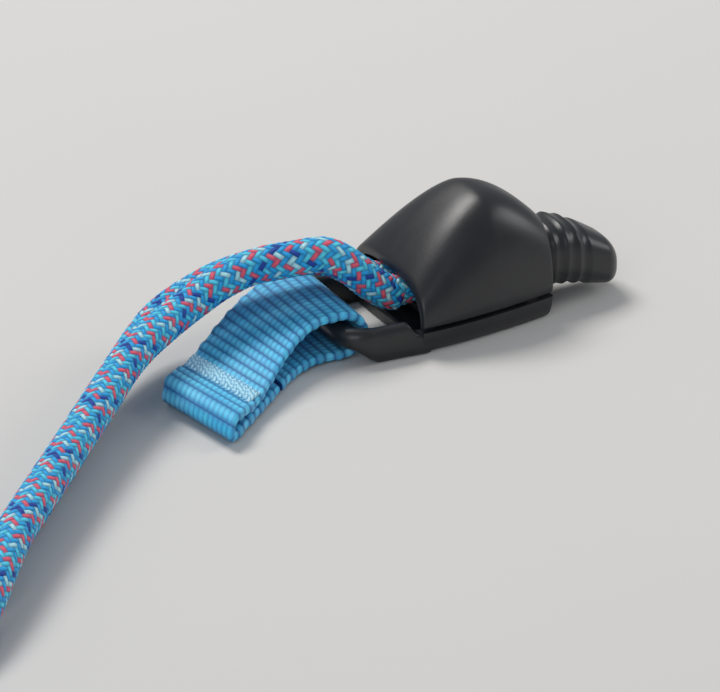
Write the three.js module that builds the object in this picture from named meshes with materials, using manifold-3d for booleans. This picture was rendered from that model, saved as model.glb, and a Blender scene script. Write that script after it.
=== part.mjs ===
// Cord lock with an anchor ring, its webbing pull tab and the doubled drawcord it holds.
// Millimetres, +Z up. The origin is the centre of the flat underside, +X points to the
// release button (rear), -X to the mouth and the anchor ring (front).

import * as THREE from 'three';
import { mergeVertices } from 'three/addons/utils/BufferGeometryUtils.js';
import Module from 'manifold-3d';

const wasm = await Module();
wasm.setup();

// ---------------------------------------------------------------- driving dimensions

// Housing: a humped shell, widest at the mouth, in two halves that meet at the seam.
const MOUTH_X = -7.0;
const REAR_X = 6.4;
const MOUTH_HALF_WIDTH = 6.9;
const REAR_HALF_WIDTH = 4.6;
const MOUTH_TOP = 6.1;
const CREST_TOP = 11.5;
const CREST_X = 0.6;
const REAR_TOP = 8.3;
const FRONT_FALL = 1.5;
const REAR_FALL = 1.9;
const WALL = 0.8;
const FLOOR = 1.2;
const SEAM_Z = 2.2;
const SEAM_GAP = 0.3;
const ARCH_POWER = 2.8;
const CORNER_ROUND = 1.1;
const CAVITY_CORNER_ROUND = 0.2;

// Anchor ring moulded on the front of the base, with a round bar for the webbing.
const RING_FRONT_X = -14.5;
const RING_HALF_WIDTH = 6.7;
const RING_INNER_HALF = 5.4;
const RING_TOP = 3.0;
const RING_CORNER_RADIUS = 3;
const RING_ROOT = 0.8;
const BAR_X = -13.5;
const BAR_Z = 2.25;
const BAR_RADIUS = 0.95;

// Cord and the clamp: the plunger's bar pulls the cord against the toothed anvil.
const CORD_RADIUS = 1.45;
const HELD_CORD_RADIUS = 1.1;
const STRAND_OFFSET = 1.6;
const CLAMP_X = -2.1;
const WINDOW_FRONT_X = -3.7;
const WINDOW_HALF = 3.3;
const ANVIL_FRONT_X = -0.5;
const ANVIL_REAR_X = 0.9;
const ANVIL_HALF = 3.1;
const ANVIL_TOP = 5.6;
const TOOTH_HEIGHT = 0.2;
const TOOTH_HALF_PITCH = 0.3;

// Two tongues on the cover that reach down behind the base's side walls.
const TONGUE_FRONT_X = -4.4;
const TONGUE_REAR_X = -2.2;
const TONGUE_INNER = 4.75;
const TONGUE_OUTER = 5.3;
const TONGUE_BOTTOM = 1.6;
const TONGUE_TOP = 6.8;

// Plunger: toothed bar, two side arms, spring seat and the ribbed button behind it.
const PLUNGER_BOTTOM = 1.5;
const CLAMP_BAR_FRONT_X = -5.0;
const CLAMP_BAR_REAR_X = -3.6;
const CLAMP_BAR_TOP = 2.4;
const ARM_TOP = 3.3;
const ARM_OUTER = 4.25;
const ARM_INNER = 3.45;
const ARM_BEND_X = 3.3;
const SEAT_X = 5.2;
const BUTTON_TIP_X = 14.3;
const BUTTON_HALF_WIDTH = 3.3;
const BUTTON_TOP = 7.2;
const BUTTON_TAPER_FROM_X = 8.8;
const BUTTON_TOP_FALL = 3.0;
const BUTTON_BOTTOM_FALL = 1.1;
const BUTTON_SIDE_TAPER = 0.95;
const BUTTON_TIP_ROUND = 1.5;
const RIDGE_FIRST_X = 7.3;
const RIDGE_PITCH = 1.2;
const RIDGE_COUNT = 3;
const RIDGE_HEIGHT = 0.25;
const RIDGE_FOOT = 0.4;
const RIDGE_CREST = 0.15;

// Spring between the anvil and the seat.
const SPRING_Z = 3.9;
const SPRING_RADIUS = 1.6;
const SPRING_WIRE = 0.2;
const SPRING_TURNS = 4.5;
const SPIGOT_RADIUS = 1.0;
const SPIGOT_LENGTH = 1.2;

// Webbing pull tab.
const WEBBING_WIDTH = 10;
const WEBBING_THICKNESS = 0.9;
const JOIN_X = -25.6;
const TAB_TOP_Z = 4.5;
const TAB_REAR_X = -11.0;
const TAB_END_X = -30.0;
const TAB_BOTTOM_Z = 0.15;
const HEM_FROM_Z = 0.7;
const HEM_TOP_Z = 2.6;
const JOIN_TOP_Z = 2.05;
const TAB_SIDEWAYS = 1.05;
const TAB_STRAIGHT_TO_X = -15;
const TAB_BEND = 5;
const TAB_TURN = 0.18;
const TAB_TURN_WITHIN = 12;
const BARTACK_FROM_X = -26.6;
const BARTACK_TO_X = -24.8;
const BARTACK_LIFT = 0.12;
const BARTACK_HEIGHT = 0.3;

// Free cord: the pair's middle line from the mouth to the coil, then the coil itself.
const FREE_ROUTE = [
  [-7.0, 0, 3.75],
  [-8.0, 0, 4.1],
  [-9.4, 0, 5.1],
  [-11.3, 0, 6.3],
  [-13.7, 0, 7.0],
  [-16.3, 0.2, 7.0],
  [-18.8, 0.8, 6.7],
  [-21.6, 1.1, 6.0],
  [-25.7, 0.4, 4.6],
  [-31.2, -3.7, 3.1],
  [-37.4, -10.2, 2.1],
  [-44.1, -18.1, 1.6],
  [-50.9, -26.4, 1.5],
  [-56.6, -33.3, 1.5],
  [-61.8, -39.3, 1.5],
  [-67.5, -44.3, 1.5],
  [-74.0, -47.4, 1.5],
  [-80.5, -48.6, 1.5],
];
// The left strand rides up beside the right one over the webbing, then lies on top of it.
const RIDE_FIRST = 0.45;
const RIDE_SECOND = 0.6;
const COIL_X = -84.1;
const COIL_Y = -31.8;
const COIL_INNER = 13.9;
const COIL_OUTER = 20.5;
const COIL_BOTTOM = 0.9;
const COIL_TOP = 12.4;
const COIL_SOFTNESS = 1.6;
const TIE_THICKNESS = 0.6;
const TIE_WIDTH = 4;
const TIE_ANGLE = 4.0;
const KNOT_RADIUS = 4.4;
const KNOT_FLATNESS = 0.9;
const RIGHT_KNOT_ANGLE = 3.04;
const LEFT_KNOT_ANGLE = 1.216;

const GAP = 0.3;

// ---------------------------------------------------------------- materials

const blackPlastic = { color: 0x1b1c1e, roughness: 0.38, metalness: 0 };
const buttonPlastic = { color: 0x17181a, roughness: 0.42, metalness: 0 };
const springSteel = { color: 0xb9bcc0, roughness: 0.3, metalness: 1 };
const webbing = { color: 0x0a90d8, roughness: 0.75, metalness: 0 };
const stitchThread = { color: 0x8fd8f4, roughness: 0.7, metalness: 0 };
const drawcord = { color: 0x1d7fd0, roughness: 0.8, metalness: 0 };
const tieBlack = { color: 0x202124, roughness: 0.85, metalness: 0 };

// ---------------------------------------------------------------- helpers

function toSolid(geometry) {
  const bare = geometry.index ? geometry.toNonIndexed() : geometry.clone();
  bare.deleteAttribute('normal');
  bare.deleteAttribute('uv');
  const merged = mergeVertices(bare, 1e-4);
  return new wasm.Manifold(new wasm.Mesh({
    numProp: 3,
    vertProperties: new Float32Array(merged.attributes.position.array),
    triVerts: new Uint32Array(merged.index.array),
  }));
}

function toGeometry(solid) {
  const mesh = solid.getMesh();
  const geometry = new THREE.BufferGeometry();
  geometry.setAttribute('position', new THREE.BufferAttribute(mesh.vertProperties, 3));
  geometry.setIndex(new THREE.BufferAttribute(mesh.triVerts, 1));
  geometry.computeVertexNormals();
  return geometry;
}

function named(name, geometry, look) {
  const mesh = new THREE.Mesh(geometry, new THREE.MeshStandardMaterial(look));
  mesh.name = name;
  return mesh;
}

function box(fromX, toX, fromY, toY, fromZ, toZ) {
  const geometry = new THREE.BoxGeometry(toX - fromX, toY - fromY, toZ - fromZ);
  geometry.translate((fromX + toX) / 2, (fromY + toY) / 2, (fromZ + toZ) / 2);
  return toSolid(geometry);
}

// A round peg along X or Y, centred on the given point.
function peg(axis, radius, length, x, y, z) {
  const geometry = new THREE.CylinderGeometry(radius, radius, length, 16);
  if (axis === 'x') {
    geometry.rotateZ(Math.PI / 2);
  }
  geometry.translate(x, y, z);
  return toSolid(geometry);
}

// Plan outline in X and Y, extruded upwards.
function plate(outline, fromZ, toZ) {
  const shape = new THREE.Shape(outline.map(([x, y]) => new THREE.Vector2(x, y)));
  const geometry = new THREE.ExtrudeGeometry(shape, { depth: toZ - fromZ, bevelEnabled: false });
  geometry.translate(0, 0, fromZ);
  return toSolid(geometry);
}

// A closed skin over rings of points, with a flat cap on the first and the last ring.
function loft(rings) {
  const count = rings[0].length;
  const points = rings.flat(2);
  const faces = [];
  for (let ring = 0; ring + 1 < rings.length; ring += 1) {
    for (let i = 0; i < count; i += 1) {
      const here = ring * count + i;
      const next = ring * count + (i + 1) % count;
      faces.push(here, next, here + count, next, next + count, here + count);
    }
  }
  const last = (rings.length - 1) * count;
  for (let i = 1; i + 1 < count; i += 1) {
    faces.push(0, i + 1, i);
    faces.push(last, last + i, last + i + 1);
  }
  const geometry = new THREE.BufferGeometry();
  geometry.setAttribute('position', new THREE.Float32BufferAttribute(points, 3));
  geometry.setIndex(faces);
  return geometry;
}

function sweep(path, section, steps) {
  return new THREE.ExtrudeGeometry(section, { steps, bevelEnabled: false, extrudePath: path });
}

function roundSection(radius, sides = 8) {
  const corners = [];
  for (let i = 0; i < sides; i += 1) {
    const angle = 2 * Math.PI * i / sides;
    corners.push(new THREE.Vector2(radius * Math.cos(angle), radius * Math.sin(angle)));
  }
  return new THREE.Shape(corners);
}

function curveThrough(points) {
  return new THREE.CatmullRomCurve3(points.map((point) => new THREE.Vector3(...point)));
}

function signedPower(value, power) {
  return Math.sign(value) * Math.abs(value) ** power;
}

// ---------------------------------------------------------------- housing shape

function halfWidthAt(x) {
  const along = THREE.MathUtils.clamp((x - MOUTH_X) / (REAR_X - MOUTH_X), 0, 1);
  return MOUTH_HALF_WIDTH - (MOUTH_HALF_WIDTH - REAR_HALF_WIDTH) * along ** 1.6;
}

function topAt(x) {
  if (x < CREST_X) {
    const ahead = Math.min((CREST_X - x) / (CREST_X - MOUTH_X), 1);
    return CREST_TOP - (CREST_TOP - MOUTH_TOP) * ahead ** FRONT_FALL;
  }
  const behind = Math.min((x - CREST_X) / (REAR_X - CREST_X), 1);
  return CREST_TOP - (CREST_TOP - REAR_TOP) * behind ** REAR_FALL;
}

// One cross-section: an arch above the seam, rounded lower corners below it.
function housingRing(x, inset, floor, edge) {
  const half = halfWidthAt(x) - inset;
  const top = topAt(x) - inset;
  const ring = [];
  const archSteps = 16;
  for (let i = 0; i <= archSteps; i += 1) {
    const turn = Math.PI * i / archSteps;
    const y = half * signedPower(Math.cos(turn), 2 / ARCH_POWER);
    const z = SEAM_Z + (top - SEAM_Z) * signedPower(Math.sin(turn), 2 / ARCH_POWER);
    ring.push([x, i === archSteps ? -half : y, i === archSteps ? SEAM_Z : z]);
  }
  const cornerSteps = 4;
  const corner = [];
  for (let i = 1; i <= cornerSteps; i += 1) {
    const turn = Math.PI / 2 * i / cornerSteps;
    corner.push([half - edge + edge * Math.cos(turn), SEAM_Z - (SEAM_Z - floor) * Math.sin(turn)]);
  }
  for (const [y, z] of corner) {
    ring.push([x, -y, z]);
  }
  for (const [y, z] of corner.reverse()) {
    ring.push([x, y, z]);
  }
  return ring;
}

function housingLoft(fromX, toX, inset, floor, edge) {
  const rings = [];
  const steps = 14;
  for (let i = 0; i <= steps; i += 1) {
    rings.push(housingRing(fromX + (toX - fromX) * i / steps, inset, floor, edge));
  }
  return toSolid(loft(rings));
}

const outer = housingLoft(MOUTH_X, REAR_X, 0, 0, CORNER_ROUND);
const cavity = housingLoft(MOUTH_X - 1, REAR_X + 1, WALL, FLOOR, CAVITY_CORNER_ROUND);
const shell = outer.subtract(cavity);

// ---------------------------------------------------------------- housing base

// The ring's outline in plan, from its rear ends round the front.
function ringOutline(rearX) {
  const outline = [[rearX, -RING_HALF_WIDTH]];
  const steps = 6;
  for (const side of [-1, 1]) {
    for (let i = 0; i <= steps; i += 1) {
      const turn = Math.PI / 2 * (side < 0 ? i : steps - i) / steps;
      const x = RING_FRONT_X + RING_CORNER_RADIUS * (1 - Math.sin(turn));
      const y = side * (RING_HALF_WIDTH - RING_CORNER_RADIUS * (1 - Math.cos(turn)));
      outline.push([x, y]);
    }
  }
  outline.push([rearX, RING_HALF_WIDTH]);
  return outline.reverse();
}

function anchorRing() {
  const armRearX = MOUTH_X + RING_ROOT;
  const lower = plate(ringOutline(armRearX), 0, SEAM_Z - SEAM_GAP / 2);
  const upper = plate(ringOutline(MOUTH_X - GAP), SEAM_Z / 2, RING_TOP);
  const opening = box(RING_FRONT_X - 1, armRearX + 1, -RING_INNER_HALF, RING_INNER_HALF, -1, RING_TOP + 1);
  const bar = peg('y', BAR_RADIUS, RING_INNER_HALF + RING_HALF_WIDTH - CORNER_ROUND, BAR_X, 0, BAR_Z);
  return lower.add(upper).subtract(opening).add(bar);
}

// Three wedge ridges across a clamping face; side is +1 for teeth that point to +X.
function teeth(faceX, side, half, heights) {
  let solid = null;
  for (const z of heights) {
    const profile = new THREE.Shape([
      new THREE.Vector2(faceX - side * TOOTH_HEIGHT, z - TOOTH_HALF_PITCH),
      new THREE.Vector2(faceX + side * TOOTH_HEIGHT, z),
      new THREE.Vector2(faceX - side * TOOTH_HEIGHT, z + TOOTH_HALF_PITCH),
    ]);
    const geometry = new THREE.ExtrudeGeometry(profile, { depth: 2 * half, bevelEnabled: false });
    geometry.rotateX(Math.PI / 2);
    geometry.translate(0, half, 0);
    const ridge = toSolid(geometry);
    solid = solid ? solid.add(ridge) : ridge;
  }
  return solid;
}

function housingBase() {
  const tray = shell.subtract(box(-20, 20, -20, 20, SEAM_Z - SEAM_GAP / 2, 20));
  const anvil = box(ANVIL_FRONT_X, ANVIL_REAR_X, -ANVIL_HALF, ANVIL_HALF, FLOOR - 0.5, ANVIL_TOP);
  const anvilTeeth = teeth(ANVIL_FRONT_X, -1, ANVIL_HALF - 0.2, [2.2, 3.2, 4.2]);
  const spigot = peg('x', SPIGOT_RADIUS, SPIGOT_LENGTH, ANVIL_REAR_X + 0.2, 0, SPRING_Z);
  const window = box(WINDOW_FRONT_X, ANVIL_FRONT_X - 0.1, -WINDOW_HALF, WINDOW_HALF, -1, FLOOR + 0.4);
  return tray.add(anchorRing()).add(anvil).add(anvilTeeth).add(spigot).subtract(window);
}

// ---------------------------------------------------------------- housing cover

function housingCover() {
  const hood = shell.subtract(box(-20, 20, -20, 20, -5, SEAM_Z + SEAM_GAP / 2));
  const tongue = box(
    TONGUE_FRONT_X, TONGUE_REAR_X,
    TONGUE_INNER, TONGUE_OUTER,
    TONGUE_BOTTOM, TONGUE_TOP,
  );
  return hood.add(tongue).add(tongue.mirror([0, 1, 0]));
}

// ---------------------------------------------------------------- plunger

// How far along its taper the button is at x: 0 before it starts, 1 at the tip.
function buttonTaperAt(x) {
  return Math.max(0, (x - BUTTON_TAPER_FROM_X) / (BUTTON_TIP_X - BUTTON_TAPER_FROM_X));
}

// A rounded cross-section of the button, drawn in by the given inset and scale.
function buttonRing(x, inset, scale) {
  const taper = buttonTaperAt(x);
  const top = BUTTON_TOP - BUTTON_TOP_FALL * taper ** 1.2;
  const bottom = PLUNGER_BOTTOM - BUTTON_BOTTOM_FALL * taper;
  const half = (BUTTON_HALF_WIDTH - BUTTON_SIDE_TAPER * taper ** 1.3 - inset) * scale;
  const middle = (top + bottom) / 2;
  const height = ((top - bottom) / 2 - inset) * scale;
  const ring = [];
  const steps = 24;
  for (let i = 0; i < steps; i += 1) {
    const turn = 2 * Math.PI * i / steps;
    ring.push([
      x,
      half * signedPower(Math.cos(turn), 0.72),
      middle + height * signedPower(Math.sin(turn), 0.72),
    ]);
  }
  return ring;
}

function button() {
  const rings = [buttonRing(SEAT_X, 0, 1), buttonRing(RIDGE_FIRST_X - RIDGE_PITCH / 2, 0, 1)];
  for (let i = 0; i < RIDGE_COUNT; i += 1) {
    const x = RIDGE_FIRST_X + i * RIDGE_PITCH;
    rings.push(buttonRing(x - RIDGE_FOOT, RIDGE_HEIGHT, 1));
    rings.push(buttonRing(x - RIDGE_CREST, 0, 1));
    rings.push(buttonRing(x + RIDGE_CREST, 0, 1));
    rings.push(buttonRing(x + RIDGE_FOOT, RIDGE_HEIGHT, 1));
  }
  const roundSteps = 4;
  for (let i = 0; i <= roundSteps; i += 1) {
    const turn = Math.PI / 2 * i / roundSteps;
    const x = BUTTON_TIP_X - BUTTON_TIP_ROUND * (1 - Math.sin(turn));
    rings.push(buttonRing(x, 0, 0.45 + 0.55 * Math.cos(turn)));
  }
  return toSolid(loft(rings));
}

function sideArm(side) {
  const outline = [
    [CLAMP_BAR_FRONT_X, ARM_INNER],
    [ARM_BEND_X, ARM_INNER],
    [SEAT_X + 0.3, 2.3],
    [SEAT_X + 0.3, 3.1],
    [ARM_BEND_X, ARM_OUTER],
    [CLAMP_BAR_FRONT_X, ARM_OUTER],
  ];
  const turned = side > 0 ? outline.reverse() : outline.map(([x, y]) => [x, -y]);
  return plate(turned, PLUNGER_BOTTOM, ARM_TOP);
}

function releasePlunger() {
  const bar = box(
    CLAMP_BAR_FRONT_X, CLAMP_BAR_REAR_X,
    -ARM_OUTER, ARM_OUTER,
    PLUNGER_BOTTOM, CLAMP_BAR_TOP,
  );
  const barTeeth = teeth(CLAMP_BAR_REAR_X, 1, ANVIL_HALF - 0.2, [1.95]);
  const spigot = peg('x', SPIGOT_RADIUS, SPIGOT_LENGTH, SEAT_X - 0.2, 0, SPRING_Z);
  return button().add(bar).add(barTeeth).add(sideArm(-1)).add(sideArm(1)).add(spigot);
}

// ---------------------------------------------------------------- spring

function plungerSpring() {
  const fromX = ANVIL_REAR_X + GAP + SPRING_WIRE;
  const toX = SEAT_X - GAP - SPRING_WIRE;
  const points = [];
  const steps = 54;
  for (let i = 0; i <= steps; i += 1) {
    const turn = 2 * Math.PI * SPRING_TURNS * i / steps;
    const x = fromX + (toX - fromX) * i / steps;
    points.push([x, SPRING_RADIUS * Math.cos(turn), SPRING_Z + SPRING_RADIUS * Math.sin(turn)]);
  }
  return sweep(curveThrough(points), roundSection(SPRING_WIRE, 6), steps);
}

// ---------------------------------------------------------------- webbing tab

// The tab bends sideways and turns a little, more so the further it lies from the ring.
function bentSideways(x, across, z) {
  const ahead = Math.max(0, TAB_STRAIGHT_TO_X - x);
  const turn = TAB_TURN * THREE.MathUtils.smoothstep(ahead, 0, TAB_TURN_WITHIN);
  const sideways = TAB_SIDEWAYS * ahead ** 2 / (ahead + TAB_BEND);
  return [x - across * Math.sin(turn), across * Math.cos(turn) - sideways, z];
}

// A strip skinned over stations, each a pair of X and Z points: one per face.
function strip(stations, width) {
  const half = width / 2;
  return toSolid(loft(stations.map(([[fromX, fromZ], [toX, toZ]]) => [
    bentSideways(fromX, -half, fromZ),
    bentSideways(fromX, half, fromZ),
    bentSideways(toX, half, toZ),
    bentSideways(toX, -half, toZ),
  ])));
}

// The loop round the bar, at a distance in from the webbing's outer face.
function tabLoop(inset) {
  const middleZ = (TAB_TOP_Z + TAB_BOTTOM_Z) / 2;
  const rise = (TAB_TOP_Z - TAB_BOTTOM_Z) / 2 - inset;
  const reach = TAB_REAR_X - BAR_X - inset;
  const loop = [];
  const steps = 12;
  for (let i = 0; i <= steps; i += 1) {
    const turn = -Math.PI / 2 + Math.PI * i / steps;
    loop.push([BAR_X + reach * Math.cos(turn), middleZ + rise * Math.sin(turn)]);
  }
  return loop;
}

// The webbing runs back under the ring, round the bar and forward again over itself.
function webbingTab() {
  const lowerTop = TAB_BOTTOM_Z + WEBBING_THICKNESS;
  const innerLoop = tabLoop(WEBBING_THICKNESS);
  const folded = strip([
    [[TAB_END_X, TAB_BOTTOM_Z + 0.3], [TAB_END_X, lowerTop]],
    [[TAB_END_X + 0.4, TAB_BOTTOM_Z], [TAB_END_X + 0.4, lowerTop]],
    ...[-28, -26, -24, -22, -20, -18, -16.5, -15].map((x) => [[x, TAB_BOTTOM_Z], [x, lowerTop]]),
    ...tabLoop(0).map((point, i) => [point, innerLoop[i]]),
    [[-15.5, 4.4], [-15.5, 3.5]],
    [[-18, 4.0], [-18, 3.05]],
    [[-21, 3.25], [-21, 2.2]],
    [[-23.2, 2.6], [-23.2, 1.6]],
  ], WEBBING_WIDTH);
  const hem = strip([
    [[TAB_END_X, HEM_FROM_Z], [TAB_END_X, HEM_TOP_Z - 0.4]],
    [[TAB_END_X + 0.4, HEM_FROM_Z], [TAB_END_X + 0.4, HEM_TOP_Z]],
    [[-27.8, HEM_FROM_Z], [-27.8, HEM_TOP_Z - 0.1]],
    [[-27, HEM_FROM_Z], [-27, JOIN_TOP_Z]],
    [[JOIN_X, HEM_FROM_Z], [JOIN_X, JOIN_TOP_Z]],
    [[-24, 0.9], [-24, 2.4]],
    [[-23.1, 1.7], [-23.1, 2.6]],
  ], WEBBING_WIDTH);
  return folded.add(hem);
}

// The stitching's patch follows the webbing's top face, flat and then rising towards the ring.
function bartackStitch() {
  const surface = [
    [BARTACK_FROM_X, JOIN_TOP_Z],
    [JOIN_X, JOIN_TOP_Z],
    [BARTACK_TO_X, JOIN_TOP_Z + 0.23],
  ];
  const over = BARTACK_LIFT + BARTACK_HEIGHT;
  return strip(surface.map(([x, z]) => [[x, z + BARTACK_LIFT], [x, z + over]]), WEBBING_WIDTH - 0.8);
}

// ---------------------------------------------------------------- cord

// The stretch inside the lock: up through the window, over the clamp bar, to the mouth.
function heldCord(side) {
  const y = side * STRAND_OFFSET;
  const route = curveThrough([
    [CLAMP_X, y, 0.35],
    [CLAMP_X, y, 1.4],
    [CLAMP_X - 0.05, y, 2.4],
    [CLAMP_X - 0.7, y, 3.6],
    [CLAMP_X - 2, y, 4.15],
    [MOUTH_X + 1.4, y, 3.95],
    [MOUTH_X, y, 3.75],
  ]);
  return sweep(route, roundSection(HELD_CORD_RADIUS), 14);
}

// How far the left strand has rolled up over the right one: 0 is side by side.
function rideAngle(x) {
  const { smoothstep } = THREE.MathUtils;
  const rolled = RIDE_FIRST * smoothstep(-x, 9, 14) + RIDE_SECOND * smoothstep(-x, 24, 36);
  return rolled * (1 - smoothstep(-x, 52, 66));
}

// One strand of the pair, beside the middle line: side is 1 for the left one, -1 for the right.
function strandRoute(side) {
  const middle = curveThrough(FREE_ROUTE);
  const points = [];
  const steps = 44;
  for (let i = 0; i <= steps; i += 1) {
    const point = middle.getPoint(i / steps);
    const heading = middle.getTangent(i / steps).setZ(0).normalize();
    const ride = rideAngle(point.x);
    const beside = side * STRAND_OFFSET * Math.cos(ride);
    points.push([
      point.x - beside * heading.y,
      point.y + beside * heading.x,
      point.z + (1 + side) * STRAND_OFFSET * Math.sin(ride),
    ]);
  }
  return curveThrough(points);
}

function freeCord(side) {
  const tube = toSolid(sweep(strandRoute(side), roundSection(CORD_RADIUS), 44));
  const coilRoom = new THREE.CylinderGeometry(COIL_OUTER + GAP, COIL_OUTER + GAP, 40, 48);
  coilRoom.rotateX(Math.PI / 2);
  coilRoom.translate(COIL_X, COIL_Y, 10);
  const mouthRoom = box(MOUTH_X - GAP, 0, -10, 10, -10, 20);
  return toGeometry(tube.subtract(toSolid(coilRoom)).subtract(mouthRoom));
}

function cordCoil() {
  const profile = [
    [COIL_INNER, COIL_BOTTOM + COIL_SOFTNESS],
    [COIL_INNER + COIL_SOFTNESS, COIL_BOTTOM],
    [COIL_OUTER - COIL_SOFTNESS, COIL_BOTTOM],
    [COIL_OUTER, COIL_BOTTOM + COIL_SOFTNESS],
    [COIL_OUTER, COIL_TOP - COIL_SOFTNESS],
    [COIL_OUTER - COIL_SOFTNESS, COIL_TOP],
    [COIL_INNER + COIL_SOFTNESS, COIL_TOP],
    [COIL_INNER, COIL_TOP - COIL_SOFTNESS],
    [COIL_INNER, COIL_BOTTOM + COIL_SOFTNESS],
  ];
  const geometry = new THREE.LatheGeometry(profile.map(([r, z]) => new THREE.Vector2(r, z)), 40);
  geometry.rotateX(Math.PI / 2);
  geometry.translate(COIL_X, COIL_Y, 0);
  return geometry;
}

// A flat band round the coil's winding, just past the place where the pair joins it.
function coilTie() {
  const innerFrom = COIL_INNER - GAP;
  const innerTo = COIL_OUTER + GAP;
  const band = box(innerFrom - TIE_THICKNESS, innerTo + TIE_THICKNESS,
    -TIE_WIDTH / 2, TIE_WIDTH / 2, 0, COIL_TOP + GAP + TIE_THICKNESS);
  const room = box(innerFrom, innerTo, -TIE_WIDTH, TIE_WIDTH, TIE_THICKNESS, COIL_TOP + GAP);
  const geometry = toGeometry(band.subtract(room));
  geometry.rotateZ(TIE_ANGLE);
  geometry.translate(COIL_X, COIL_Y, 0);
  return geometry;
}

function cordKnot(distance, angle) {
  const geometry = new THREE.SphereGeometry(KNOT_RADIUS, 12, 8);
  geometry.rotateX(Math.PI / 2);
  geometry.scale(1, 1, KNOT_FLATNESS);
  geometry.translate(
    COIL_X + distance * Math.cos(angle),
    COIL_Y + distance * Math.sin(angle),
    KNOT_RADIUS * KNOT_FLATNESS,
  );
  return geometry;
}

// ---------------------------------------------------------------- assembly

const cordLock = new THREE.Group();
cordLock.add(named('housing_base', toGeometry(housingBase()), blackPlastic));
cordLock.add(named('housing_cover', toGeometry(housingCover()), blackPlastic));
cordLock.add(named('release_plunger', toGeometry(releasePlunger()), buttonPlastic));
cordLock.add(named('plunger_spring', plungerSpring(), springSteel));
cordLock.add(named('webbing_tab', toGeometry(webbingTab()), webbing));
cordLock.add(named('bartack_stitch', toGeometry(bartackStitch()), stitchThread));
for (const [side, word] of [[1, 'left'], [-1, 'right']]) {
  cordLock.add(named(`cord_${word}_inside`, heldCord(-side), drawcord));
  cordLock.add(named(`cord_${word}`, freeCord(side), drawcord));
}
cordLock.add(named('cord_coil', cordCoil(), drawcord));
cordLock.add(named('coil_tie', coilTie(), tieBlack));
const insideCoil = COIL_INNER - GAP - KNOT_RADIUS;
const outsideCoil = COIL_OUTER + GAP + KNOT_RADIUS;
cordLock.add(named('cord_knot_right', cordKnot(insideCoil, RIGHT_KNOT_ANGLE), drawcord));
cordLock.add(named('cord_knot_left', cordKnot(outsideCoil, LEFT_KNOT_ANGLE), drawcord));

export default cordLock;
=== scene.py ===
"""Looks of the cord lock, its webbing pull tab and its doubled drawcord.

Lengths are written in millimetres and turned into metres where a mesh is made.
"""

import math

import bpy
import numpy as np
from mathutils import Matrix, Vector


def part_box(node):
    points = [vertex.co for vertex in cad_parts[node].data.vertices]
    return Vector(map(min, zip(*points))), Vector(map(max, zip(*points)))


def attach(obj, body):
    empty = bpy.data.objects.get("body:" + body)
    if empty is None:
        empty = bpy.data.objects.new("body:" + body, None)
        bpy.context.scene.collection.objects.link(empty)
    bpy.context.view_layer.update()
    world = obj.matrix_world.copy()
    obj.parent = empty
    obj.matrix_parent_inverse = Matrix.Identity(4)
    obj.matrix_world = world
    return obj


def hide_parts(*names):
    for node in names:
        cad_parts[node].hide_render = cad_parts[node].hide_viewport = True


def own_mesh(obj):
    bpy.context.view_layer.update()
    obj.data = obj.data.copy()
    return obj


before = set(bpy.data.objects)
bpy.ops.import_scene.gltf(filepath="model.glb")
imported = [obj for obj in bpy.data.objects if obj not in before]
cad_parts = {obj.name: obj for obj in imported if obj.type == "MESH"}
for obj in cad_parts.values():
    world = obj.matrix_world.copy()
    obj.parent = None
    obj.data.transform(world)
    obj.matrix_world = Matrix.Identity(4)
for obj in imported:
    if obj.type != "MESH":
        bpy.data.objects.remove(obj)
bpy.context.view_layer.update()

MM = 0.001
TAU = 2 * math.pi


def node_box(node):
    """The lowest and highest corner of a CAD node, in millimetres."""
    low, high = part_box(node)
    return np.array(low) / MM, np.array(high) / MM


cover_low, cover_high = node_box("housing_cover")
base_low, base_high = node_box("housing_base")
plunger_low, plunger_high = node_box("release_plunger")
tab_low, tab_high = node_box("webbing_tab")
coil_low, coil_high = node_box("cord_coil")

MOUTH_X = cover_low[0]
REAR_X = cover_high[0]
RING_FRONT_X = base_low[0]
BUTTON_TIP_X = plunger_high[0]
COIL_CENTRE = (coil_low + coil_high)[:2] / 2

# ---------------------------------------------------------------- camera

CAMERA_AZIMUTH = 334
CAMERA_ELEVATION = 24
VIEW_WIDTH = 60.4
LENS = 250
SENSOR = 36


def make_camera():
    turn = math.radians(CAMERA_AZIMUTH)
    tilt = math.radians(CAMERA_ELEVATION)
    back = Vector((
        math.sin(turn) * math.cos(tilt),
        -math.cos(turn) * math.cos(tilt),
        math.sin(tilt),
    ))
    right = Vector((math.cos(turn), math.sin(turn), 0))
    up = back.cross(right)
    aim = Vector((MOUTH_X, 0, 0.5)) - 2.26 * right - 2.08 * up
    data = bpy.data.cameras.new("camera")
    data.sensor_width = SENSOR
    data.lens = LENS
    camera = bpy.data.objects.new("camera", data)
    distance = VIEW_WIDTH * LENS / SENSOR
    camera.location = (aim + back * distance) * MM
    camera.rotation_mode = "QUATERNION"
    camera.rotation_quaternion = (-back).to_track_quat("-Z", "Y")
    data.clip_start = 0.01
    data.clip_end = 20
    bpy.context.collection.objects.link(camera)
    bpy.context.scene.camera = camera


make_camera()

# ---------------------------------------------------------------- mesh tools


def smooth_step(t):
    t = np.clip(t, 0, 1)
    return t * t * (3 - 2 * t)


def signed_power(value, power):
    return np.sign(value) * np.abs(value) ** power


HARD_ANGLE = 42
SOFT_ANGLE = 80


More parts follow.
